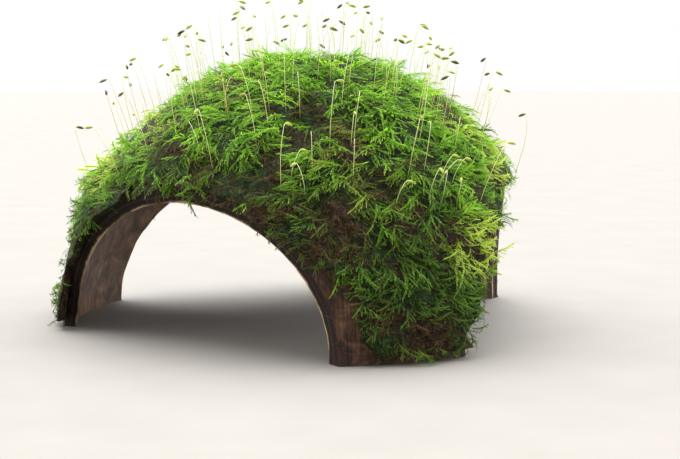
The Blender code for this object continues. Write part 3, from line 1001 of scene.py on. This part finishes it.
# Coir: stiff brown fibres of the husk that were not scraped off. They stand out from the bare
# husk and along the doorways' sawn edges, and poke through the moss there.
COIR_LENGTHS = (0.0010, 0.0014, 0.0020)
COIR_RADIUS = 0.00004
COIR_RISE = (0.1, 0.9)
COIR_DROP = (-0.5, 0.9)
COIR_SWAY = (0.1, 1.2)
COIR_STEPS = 3
COIR_SEED = 21
COIR_REACH = 0.009
COIR_SPACING = 0.0011
COIR_ROOTS_PER_AREA = 1000000.0
COIR_SIZES = (0.6, 1.3)
COIR_TURNS = (0.5, 0.5, 1.2)
COIR_SWIRL = 1.5
COIR_SWIRL_SIZE = 0.006
# How thick the coir stands at its reach from a doorway, and at the doorway's edge.
COIR_GROWS = (0.3, 1.0)


def in_order(mesh):
    """Copy of a cut mesh with its points and faces in a fixed order, which the cut leaves to chance,
    so that the same coir grows each time."""
    places = sorted(range(len(mesh.vertices)), key=lambda index: tuple(mesh.vertices[index].co))
    ranks = {index: rank for rank, index in enumerate(places)}
    faces = []
    for face in mesh.polygons:
        corners = [ranks[index] for index in face.vertices]
        start = corners.index(min(corners))
        faces.append(corners[start:] + corners[:start])
    ordered = bpy.data.meshes.new("in_order")
    ordered.from_pydata([mesh.vertices[index].co for index in places], [], sorted(faces))
    return ordered


def coir_growth(point):
    """Coir lies down the husk, and more to one side from place to place."""
    normal = shell_normal(point)
    way = normal * normal.z - UP + UP.cross(normal) * noise.noise(point / COIR_SWIRL_SIZE) * COIR_SWIRL
    near = max(0.0, 1 - max(0.0, doorway_edge(point)[0]) / COIR_REACH)
    return {"grows": between(COIR_GROWS, near), "vigour": 1.0, "press": 0.0, "curl": 0.5, "tone": 0.5,
            "lean": way.normalized()}


def bears_coir(face):
    """Whether a face of the shell is husk close to a doorway."""
    middle = face.calc_center_median()
    outwards = face.normal.dot(shell_normal(middle)) > HUSK_FACING
    return outwards and middle.z > COIR_LENGTHS[-1] and doorway_edge(middle)[0] < COIR_REACH


def coir_fibre(tree):
    """Coir fibre: dry, stiff and red-brown, paler at the frayed tip."""
    along = put(tree, "ShaderNodeAttribute", attribute_name="along")["Fac"]
    colour = put(tree, "ShaderNodeValToRGB", {"Fac": along},
                 ((0.0, "#2e1c13"), (0.6, "#6b4730"), (1.0, "#9c7650")))[0]
    return put(tree, "ShaderNodeBsdfPrincipled", {"Base Color": colour, "Roughness": 0.6})[0]


coir_rng = random.Random(COIR_SEED)
strands = bpy.data.collections.new("coir")
for name, hand in (("bent_left", 1), ("bent_right", -1)):
    for length in COIR_LENGTHS:
        strand = ([], [], [])
        path = sprout(length, COIR_RISE, COIR_DROP, COIR_SWAY, hand, COIR_STEPS, coir_rng)
        add_stem(strand, path, SIDE, COIR_RADIUS, (0.0, 1.0))
        plant_object(name, strand, strands)
coir = growing_surface("coconut_coir", in_order(shell.data), bears_coir, coir_growth)
grow(coir, growth, {"Shoots": strands, "Kinds": len(COIR_LENGTHS), "Spacing": COIR_SPACING,
                    "Roots": COIR_ROOTS_PER_AREA, "Smallest": COIR_SIZES[0], "Largest": COIR_SIZES[1],
                    "Turns": COIR_TURNS, "Tone Share": 0.0, "Material": made_of(coir_fibre),
                    "Seed": COIR_SEED})
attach(coir, "root")
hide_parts("coconut_shell")
clear(strands)

# Sporophytes: the moss's spore stalks. Each is a smooth hair-thin stalk, yellow-green or
# reddish, that grows out from between the shoots of the crown and nods at its top, where it
# carries one bent egg-shaped capsule that ripens from green to dark brown.
SPOROPHYTE_COUNT = 40
SPOROPHYTE_SPREAD = 62.0
SPOROPHYTE_SEED = 3
SPOROPHYTE_GAP = 0.0005
GOLDEN_ANGLE = 137.508
STALK_RADIUS = 0.00006
STALK_SIDES = 5
STALK_LENGTH = (0.0095, 0.0125)
STALK_SPLAY = 0.55
STALK_BOW = (0.0004, 0.0022)
STALK_LIFT = 0.0001
STALK_STATIONS = (-0.3, 0.0, 0.3, 0.6, 0.85, 1.0)
SIGHT_LENGTH = 0.030
NECK_BEND = 0.0004
NECK_SWELL = 1.2
CAPSULE_LENGTH = 0.0018
CAPSULE_RADIUS = 0.00032
CAPSULE_DROOP = (0.0, 0.5)
CAPSULE_BEND = -0.12
# The capsule's thickness at each share of its length.
CAPSULE_SWELL = ((0.08, 0.5), (0.25, 0.85), (0.5, 1.0), (0.75, 0.85), (0.88, 0.5), (1.0, 0.12))
# The shares at which the material colours the stalk's top, the neck and the capsule.
STALK_ALONG = 0.4
NECK_ALONG = 0.5
CAPSULE_ALONG = (0.6, 1.0)
MORE_SPOROPHYTES = 150
MORE_SEED = 8
MORE_LENGTH = (0.006, 0.0125)
MORE_SPREAD = 46.0
MORE_GATHERED = 1.2
YOUNG_SHARE = 0.4
# The azimuth and height of each stalk on the front, and its length.
FACE_PLACES = ((2.5, 0.0370, 0.0080), (-2.7, 0.0350, 0.0060), (0.7, 0.0325, 0.0062), (12.7, 0.0355, 0.0080),
               (33.6, 0.0370, 0.0090), (46.3, 0.0390, 0.0080), (36.0, 0.0335, 0.0050), (40.7, 0.0340, 0.0045),
               (34.9, 0.0305, 0.0060), (31.6, 0.0315, 0.0058), (37.0, 0.0345, 0.0048), (39.8, 0.0305, 0.0045),
               (-30.0, 0.0400, 0.0065), (-52.0, 0.0400, 0.0070), (14.0, 0.0420, 0.0060),
               (22.0, 0.0300, 0.0050))
FACE_OFFSET = 0.0022
FACE_SPLAY = 0.45
FACE_RIPENESS = 0.6
BARE_STALKS = (0, 3, 5, 12)

mat_mesh = frame["nodes"]["java_moss"].data
mat_surface = BVHTree.FromPolygons([vert.co - SHELL_AXIS for vert in mat_mesh.vertices],
                                   [tuple(face.vertices) for face in mat_mesh.polygons])


def stalk_start(polar, azimuth):
    """Root and direction of a stalk, or None where its line falls through a doorway."""
    on_shell = facing(azimuth) * SHELL_RADIUS * math.sin(polar)
    on_shell += UP * (SHELL_CENTRE_Z + SHELL_SEMI_HEIGHT * math.cos(polar))
    way = (shell_normal(on_shell) * STALK_SPLAY + UP).normalized()
    root = mat_surface.ray_cast(on_shell + way * SIGHT_LENGTH, -way, SIGHT_LENGTH)[0]
    if root is None:
        return None
    while mat_surface.find_nearest(root)[3] < SPOROPHYTE_GAP:
        root += way * STALK_LIFT
    return root, way


def sporophyte_line(root, way, lengths, rng):
    """(point, radius, share) triples up a stalk that bows, turns over at its neck and swells."""
    nod = facing(rng.uniform(0, 360))
    bow = nod * rng.uniform(*STALK_BOW)
    rise = way * rng.uniform(*lengths)
    line = [(root + rise * s + bow * s * abs(s), STALK_RADIUS, STALK_ALONG * max(0.0, s))
            for s in STALK_STATIONS]
    neck = root + rise + bow + (way + nod) * NECK_BEND
    line.append((neck, STALK_RADIUS * NECK_SWELL, NECK_ALONG))
    droop = (nod - UP * rng.uniform(*CAPSULE_DROOP)).normalized()
    for share, swell in CAPSULE_SWELL:
        bend = UP * CAPSULE_BEND * CAPSULE_LENGTH * share ** 2
        middle = neck + droop * CAPSULE_LENGTH * share + bend
        line.append((middle, swell * CAPSULE_RADIUS, between(CAPSULE_ALONG, share)))
    return line


def add_tube(plant, line, sides):
    """Closed tube along (point, radius, share) triples."""
    rings = []
    side = Vector((1, 0, 0))
    for index, (centre, radius, _) in enumerate(line):
        before = line[max(0, index - 1)][0]
        after = line[min(len(line) - 1, index + 1)][0]
        heading = (after - before).normalized()
        side = squared(side, heading)
        rings.append(ring_round(centre, side, heading.cross(side), radius, sides))
    add_rod(plant, rings, [share for _, _, share in line])


def moss_sporophyte_skin(tree):
    """Moss stalk and capsule: smooth and waxy; the stalk pale yellow-green to reddish, the capsule
    green while young and dark brown when ripe."""
    along = put(tree, "ShaderNodeAttribute", attribute_name="along")["Fac"]
    tint = put(tree, "ShaderNodeAttribute", attribute_name="tint")["Fac"]
    young = ((0.0, "#d8de90"), (0.45, "#fafbe0"), (0.60, "#ccd868"), (0.85, "#a8bc48"), (1.0, "#d8c878"))
    ripe = ((0.0, "#dccf8c"), (0.45, "#f6e8c8"), (0.60, "#96863f"), (0.78, "#4c4220"), (1.0, "#241d10"))
    colour = put(tree, "ShaderNodeValToRGB", {"Fac": along}, young)[0]
    colour = give_way(tree, colour, along, ripe, tint, (0.55, 1.0))
    return see_through(tree, colour, 0.45, {"Roughness": 0.38})


plant = ([], [], [])
tints = []
tint_rng = random.Random(MORE_SEED)
rng = random.Random(SPOROPHYTE_SEED)
made = 0
for index in range(SPOROPHYTE_COUNT + MORE_SPOROPHYTES):
    if index < SPOROPHYTE_COUNT:
        polar = math.radians(SPOROPHYTE_SPREAD) * math.sqrt((index + 0.5) / SPOROPHYTE_COUNT)
        start = stalk_start(polar, index * GOLDEN_ANGLE)
        lengths = STALK_LENGTH
        draws = rng
    else:
        polar = math.radians(MORE_SPREAD) * math.sqrt(tint_rng.random()) ** MORE_GATHERED
        start = stalk_start(polar, tint_rng.uniform(0, 360))
        lengths = MORE_LENGTH
        draws = tint_rng
    if start:
        made += index < SPOROPHYTE_COUNT
        line = sporophyte_line(*start, lengths, draws)
        tint = tint_rng.random()
        if index >= SPOROPHYTE_COUNT and tint < YOUNG_SHARE:
            line = line[:len(STALK_STATIONS)]
        add_tube(plant, line, STALK_SIDES)
        tints += [tint] * (len(plant[0]) - len(tints))
for index, (azimuth, height, length) in enumerate(FACE_PLACES):
    root = on_shell_by_door(azimuth, 0.0, height, FACE_OFFSET)
    way = (shell_normal(root) * FACE_SPLAY + UP).normalized()
    line = sporophyte_line(root, way, (length, length), tint_rng)
    if index in BARE_STALKS:
        line = line[:len(STALK_STATIONS)]
    add_tube(plant, line, STALK_SIDES)
    tints += [FACE_RIPENESS * tint_rng.random()] * (len(plant[0]) - len(tints))
sporophytes = plant_object("sporophytes", plant)
sporophytes.data.attributes.new("tint", "FLOAT", "POINT").data.foreach_set("value", tints)
sporophytes.data.transform(Matrix.Translation(SHELL_AXIS))
sporophytes.data.materials.append(made_of(moss_sporophyte_skin))
sporophytes.data.shade_smooth()
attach(sporophytes, "root")
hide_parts(*["sporophyte_%02d" % (n + 1) for n in range(made)])

# Studio: a plain pale floor under a white sky, a broad light from above and behind, and a
# camera a third of a metre away that looks slightly down on the shell.
FLOOR_RADIUS = 2.3
FLOOR_SIDES = 96
BOARD_GRAIN = 0.0167
SKY_LIGHT = 0.75
# Each light's name, the way it comes from, its spread in degrees and its strength.
LIGHTS = (("overhead", Vector((-0.1, 0.3, 1.0)), 70.0, 7.2), ("left", Vector((-1.0, 0.4, 0.45)), 70.0, 3.2),
          ("right", Vector((1.0, 0.4, 0.5)), 70.0, 3.0))
CAMERA_PLACE = Vector((0.01058, -0.32979, 0.05873))
CAMERA_AIM = Vector((0.01058, 0.0017, 0.02017))
LENS = 78.0


def look(obj, place, aim):
    """Puts a camera or a light at a place, looking at its aim."""
    obj.location = place
    obj.rotation_euler = (aim - place).to_track_quat("-Z", "Y").to_euler()


def pale_board(tree):
    """Matt pale board, which throws soft light back up at the shell."""
    where = put(tree, "ShaderNodeTexCoord")["Object"]
    grain = put(tree, "ShaderNodeTexNoise", {"Vector": where, "Scale": 1 / BOARD_GRAIN, "Detail": 4.0})["Fac"]
    colour = put(tree, "ShaderNodeValToRGB", {"Fac": grain}, ((0.3, "#7f7b76"), (0.7, "#837f7a")))[0]
    return put(tree, "ShaderNodeBsdfPrincipled", {"Base Color": colour, "Roughness": 0.8})[0]


floor_bm = bmesh.new()
bmesh.ops.create_circle(floor_bm, cap_ends=True, radius=FLOOR_RADIUS, segments=FLOOR_SIDES)
floor = as_object("floor", floor_bm)
floor.data.materials.append(made_of(pale_board))

world = bpy.data.worlds.new("white_sky")
world.use_nodes = True
sky = world.node_tree
sky.nodes.clear()
seen, light = [put(sky, "ShaderNodeBackground", {"Color": linear("#ffffff"), "Strength": strength})[0]
               for strength in (1.0, SKY_LIGHT)]
by_camera = put(sky, "ShaderNodeLightPath")["Is Camera Ray"]
whole = put(sky, "ShaderNodeMixShader", {0: by_camera, 1: light, 2: seen})[0]
put(sky, "ShaderNodeOutputWorld", {"Surface": whole})
bpy.context.scene.world = world

for name, place, spread, strength in LIGHTS:
    light_data = bpy.data.lights.new(name, "SUN")
    light_data.angle = math.radians(spread)
    light_data.energy = strength
    look(add_object(name, light_data), place, Vector())

camera_data = bpy.data.cameras.new("camera")
camera_data.lens = LENS
camera = add_object("camera", camera_data)
look(camera, CAMERA_PLACE, CAMERA_AIM)
bpy.context.scene.camera = camera
bpy.context.scene.view_settings.view_transform = "Standard"
